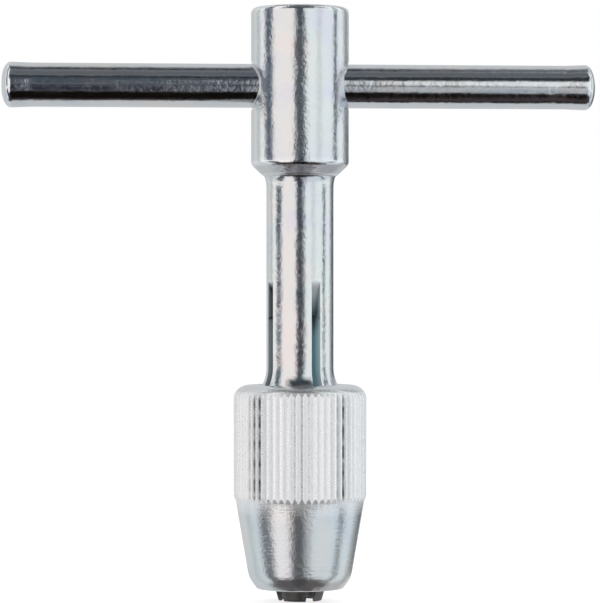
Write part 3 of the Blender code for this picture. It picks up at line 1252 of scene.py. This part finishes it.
@dataclass(frozen=True)
class Flag:
    """A soft-edged patch of the light dome, as a photographer hangs a flag or a tinted card.

    Angles are in degrees. Azimuth runs from the camera's side, positive to its right. "lean" is how far the
    patch moves in azimuth for each degree of elevation, and "soft" is the width of its edges both ways.
    """

    name: str
    azimuths: Point
    elevations: Point
    soft: Point
    colour: str
    lean: float = 0.0

    def cover(self, azimuth: np.ndarray, elevation: np.ndarray) -> np.ndarray:
        """How much of the dome the patch covers in each direction.

        Args:
            azimuth: Azimuths of the directions.
            elevation: Their elevations.

        Returns:
            A share from 0 to 1 for each.
        """
        middle = sum(self.azimuths) / 2 + self.lean * elevation
        aside = np.abs((azimuth - middle + 180) % 360 - 180) - (self.azimuths[1] - self.azimuths[0]) / 2
        height = sum(self.elevations) / 2
        above = np.abs(elevation - height) - (self.elevations[1] - self.elevations[0]) / 2
        shares = [np.clip(0.5 - off / wide, 0, 1) for off, wide in zip((aside, above), self.soft)]
        return np.prod([share * share * (3 - 2 * share) for share in shares], axis=0)


# What the plate mirrors, painted as panels on the light dome, later panels over earlier ones. It is a white
# tent with a warm left and a cool right wall, dimmer low down and behind, with one dim doorway. Overhead it
# is grey and darker in front. Two slim flags hang upright beside the camera, whose hood, body and tripod
# stand in the middle.
# The dark table runs under everything, with its shade under the wrench and its nearest edge darkest. The
# flags, the camera, the tripod and the table are only painted reflections on the dome, and the table's
# shade is painted shade.
FLAGS = (
    Flag("left_wall", (-75, -14), (-70, 60), (12, 20), "#fff9f9"),
    Flag("right_wall", (14, 118), (-70, 60), (12, 20), "#f5fcff"),
    Flag("low_right", (14, 125), (-60, -12), (6, 8), "#d8e2ea"),
    Flag("low_left", (-130, -90), (-60, -12), (8, 8), "#d3dee5"),
    Flag("rear", (128, 232), (-90, 90), (24, 1), "#d0d3d6"),
    Flag("left_rear_edge", (-124, -108), (-60, 50), (14, 10), "#bfc7ca"),
    Flag("right_rear_edge", (124, 146), (-60, 50), (12, 10), "#a2a8ab"),
    Flag("rear_door", (138, 162), (-14, 6), (12, 6), "#5c6269"),
    Flag("overhead", (-180, 180), (74, 102), (1, 10), "#75797e"),
    Flag("loft_left", (-150, -80), (60, 80), (20, 14), "#6e7276"),
    Flag("loft_right", (80, 150), (60, 80), (20, 14), "#72767a"),
    Flag("zenith", (-180, 180), (86.5, 93.5), (1, 3), "#2c2d31"),
    Flag("zenith_left", (-160, -30), (82, 98), (16, 8), "#33353a"),
    Flag("zenith_right", (34, 160), (82, 98), (16, 8), "#33353a"),
    Flag("ceiling_high", (-50, 60), (48, 78), (26, 12), "#64696f"),
    Flag("ceiling_edge", (-44, 68), (28, 50), (34, 7), "#30363c"),
    Flag("left_flag_high", (-88, -66), (-3, 62), (9, 3), "#566270", -0.29),
    Flag("left_flag_low", (-93, -65), (-75, -13), (9, 6), "#4c5866", -0.29),
    Flag("right_flag_high", (85, 94.5), (-3, 62), (4, 3), "#2c3237", 0.29),
    Flag("right_flag_low", (87, 98), (-75, -13), (6, 6), "#565e66", 0.29),
    Flag("right_sheen", (40, 52), (-40, 40), (8, 8), "#e0e3e5"),
    Flag("lens_hood", (-11.5, 10.8), (3, 38), (3, 4), "#48505a"),
    Flag("camera_body", (-12, 12.5), (2, 6), (7, 1.5), "#353a45"),
    Flag("camera_side", (-12, 18), (-34, 2), (7, 1.5), "#353a45"),
    Flag("tripod", (-19, 18), (-34, -14), (10, 6), "#30323d"),
    Flag("camera_head", (-12, 13), (4.2, 6.4), (4, 1), "#6d747d"),
    Flag("camera_low", (9.5, 16), (-32, -2), (3, 1.5), "#ced2d6"),
    Flag("table_below", (-112, 106), (-91, -50), (24, 14), "#3b3330"),
    Flag("table_shade_left", (-135, -50), (-108, -72), (16, 8), "#121011"),
    Flag("table_shade_right", (50, 135), (-108, -74), (16, 8), "#121011"),
    Flag("table_right", (104, 150), (-64, -36), (14, 10), "#b4b6bb"),
    Flag("table_front", (-78, 66), (-88, -38), (26, 10), "#453f41"),
    Flag("table_edge", (-22, 24), (-80, -34), (6, 4), "#120f0d"),
)


@dataclass
class Studio:
    """A light dome that only metal sees, a pale floor, soft lamps and the camera."""

    azimuth: float = -4.6
    distance: float = 420.0
    focal_pixels: float = 3066.0
    aim: Vector = Vector((0.0, 0.0, 40.9))
    dome_radius: float = 900.0
    dome_columns: int = 360
    dome_rows: int = 180
    floor_side: float = 6000.0
    floor_drop: float = 0.2
    lamp_distance: float = 700.0

    def direction(self, azimuth: float, elevation: float) -> Vector:
        """The direction from the wrench at these angles from the camera's side, in degrees."""
        a, e = math.radians(self.azimuth + azimuth), math.radians(elevation)
        return Vector((math.sin(a) * math.cos(e), -math.cos(a) * math.cos(e), math.sin(e)))

    def dome_grid(self) -> tuple[np.ndarray, np.ndarray]:
        """Places the dome's points and paints the panels on them.

        Returns:
            The places in metres and the linear colours, by row and column.
        """
        elevation, azimuth = np.meshgrid(
            np.linspace(-90, 90, self.dome_rows + 1),
            np.linspace(-180, 180, self.dome_columns + 1),
            indexing="ij",
        )
        tone = np.ones((*azimuth.shape, 3))
        for flag in FLAGS:
            share = flag.cover(azimuth, elevation)[..., None]
            tone += (np.array(srgb(flag.colour)[:3]) - tone) * share
        turn, tilt = np.radians(azimuth + self.azimuth), np.radians(elevation)
        ways = np.stack([np.sin(turn) * np.cos(tilt), -np.cos(turn) * np.cos(tilt), np.sin(tilt)], axis=-1)
        return (np.array(self.aim) + ways * self.dome_radius) * MM, tone

    def add_dome(self) -> None:
        """Hangs the light dome round the wrench, where neither the camera nor the floor sees it."""
        places, tone = self.dome_grid()
        width = self.dome_columns + 1
        faces = [
            (r * width + c, r * width + c + 1, (r + 1) * width + c + 1, (r + 1) * width + c)
            for r in range(self.dome_rows)
            for c in range(self.dome_columns)
        ]
        mesh = bpy.data.meshes.new("light_dome")
        mesh.from_pydata(places.reshape(-1, 3).tolist(), [], faces)
        colours = np.concatenate([tone.reshape(-1, 3), np.ones((tone.size // 3, 1))], axis=1)
        mesh.attributes.new("tone", "FLOAT_COLOR", "POINT").data.foreach_set("color", colours.ravel())
        material = blank_material("Tent cloth")
        tree = material.node_tree
        painted = add_node(tree, "ShaderNodeAttribute", attribute_name="tone").outputs["Color"]
        glow = add_node(tree, "ShaderNodeEmission", {0: painted, 1: 1.0})
        add_node(tree, "ShaderNodeOutputMaterial", {0: glow.outputs[0]})
        mesh.materials.append(material)
        LOG.info("light dome: %s", ", ".join(flag.name for flag in FLAGS))
        dome = new_object("light_dome", mesh)
        dome.visible_camera = False
        dome.visible_diffuse = False
        dome.visible_transmission = False
        dome.visible_shadow = False

    def seen_white(self, tree: bpy.types.NodeTree) -> bpy.types.NodeSocket:
        """1 for the rays that should meet plain white: the camera's and those that metal or glass sends.

        Args:
            tree: The tree of the world or of the floor's material.

        Returns:
            The socket with the factor.
        """
        path = add_node(tree, "ShaderNodeLightPath").outputs
        seen = path["Is Camera Ray"]
        for kind in ("Is Glossy Ray", "Is Transmission Ray"):
            either = add_node(tree, "ShaderNodeMath", {0: seen, 1: path[kind]}, operation="MAXIMUM")
            seen = either.outputs[0]
        return seen

    def add_world(self) -> None:
        """Sets a white world for the camera and the metal, and a plain soft fill for the floor."""
        world = bpy.data.worlds.new("Studio")
        bpy.context.scene.world = world
        world.use_nodes = True
        tree = world.node_tree
        tree.nodes.clear()
        fill = add_node(tree, "ShaderNodeBackground", {0: srgb("#ffffff"), 1: 0.6})
        white = add_node(tree, "ShaderNodeBackground", {0: srgb("#ffffff"), 1: 1.0})
        mixed = add_node(
            tree, "ShaderNodeMixShader", {0: self.seen_white(tree), 1: fill.outputs[0], 2: white.outputs[0]}
        )
        add_node(tree, "ShaderNodeOutputWorld", {0: mixed.outputs[0]})

    def add_floor(self) -> None:
        """Lays a plain pale floor that keeps the wrench's shadow."""
        side = self.floor_side * MM
        mesh = bpy.data.meshes.new("floor")
        corners = [(-side, -side), (side, -side), (side, side), (-side, side)]
        mesh.from_pydata([(x, y, -self.floor_drop * MM) for x, y in corners], [], [(0, 1, 2, 3)])
        floor = new_object("floor", mesh)
        material = blank_material("Pale floor paint")
        tree = material.node_tree
        paint = add_node(tree, "ShaderNodeBsdfDiffuse", {0: srgb("#f4f4f2")})
        # Mixed at 0.6 with the lit paint, this brings the open floor to the background's white.
        glow = add_node(tree, "ShaderNodeEmission", {0: srgb("#ffffff"), 1: 1.32})
        share = add_node(tree, "ShaderNodeMath", {0: self.seen_white(tree), 1: 0.6}, operation="MULTIPLY")
        parts = {0: share.outputs[0], 1: paint.outputs[0], 2: glow.outputs[0]}
        lit = add_node(tree, "ShaderNodeMixShader", parts)
        add_node(tree, "ShaderNodeOutputMaterial", {0: lit.outputs[0]})
        mesh.materials.append(material)
        floor.visible_glossy = False

    def add_lamps(self) -> None:
        """Hangs two large soft lamps in front and one above, which give the floor its shadow."""
        for name, azimuth, elevation, watts, size in (
            ("left_softbox", -42.0, 30.0, 0.9, (420.0, 620.0)),
            ("right_softbox", 55.0, 30.0, 0.9, (420.0, 620.0)),
            ("top_softbox", 150.0, 68.0, 1.2, (700.0, 500.0)),
        ):
            lamp = bpy.data.lights.new(name, "AREA")
            lamp.shape = "RECTANGLE"
            lamp.size, lamp.size_y = size[0] * MM, size[1] * MM
            lamp.energy = watts
            hung = bpy.data.objects.new(name, lamp)
            bpy.context.scene.collection.objects.link(hung)
            way = self.direction(azimuth, elevation)
            hung.location = (self.aim + way * self.lamp_distance) * MM
            hung.rotation_euler = way.to_track_quat("Z", "Y").to_euler()
            hung.visible_camera = False
            hung.visible_glossy = False

    def add_camera(self) -> None:
        """Sets the camera level with the middle of the wrench and a little to the left of its front."""
        lens = bpy.data.cameras.new("camera")
        lens.sensor_width = 36.0
        lens.lens = self.focal_pixels / max(PICTURE_WIDTH, PICTURE_HEIGHT) * lens.sensor_width
        lens.clip_start = 0.01
        lens.clip_end = 20.0
        camera = bpy.data.objects.new("camera", lens)
        bpy.context.scene.collection.objects.link(camera)
        camera.location = (self.aim + self.direction(0.0, 0.0) * self.distance) * MM
        camera.rotation_euler = self.direction(0.0, 0.0).to_track_quat("Z", "Y").to_euler()
        bpy.context.scene.camera = camera

    def build(self) -> None:
        """Sets the whole studio."""
        bpy.context.scene.view_settings.view_transform = "Standard"
        self.add_world()
        self.add_floor()
        self.add_dome()
        self.add_lamps()
        self.add_camera()


def main() -> None:
    """Builds the wrench and its studio in order."""
    logging.basicConfig(level=logging.INFO, format="%(message)s")
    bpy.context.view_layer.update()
    slots = Slots()
    for maker in (Spindle(slots), SpringJaws(slots), ChuckNut(), ClosingCone(), TommyBar()):
        made = maker.build()
        for piece in made if isinstance(made, list) else [made]:
            LOG.info("%s: %d faces", piece.name, len(piece.data.polygons))
    Studio().build()
    bpy.context.view_layer.update()


if __name__ == "__main__":
    main()
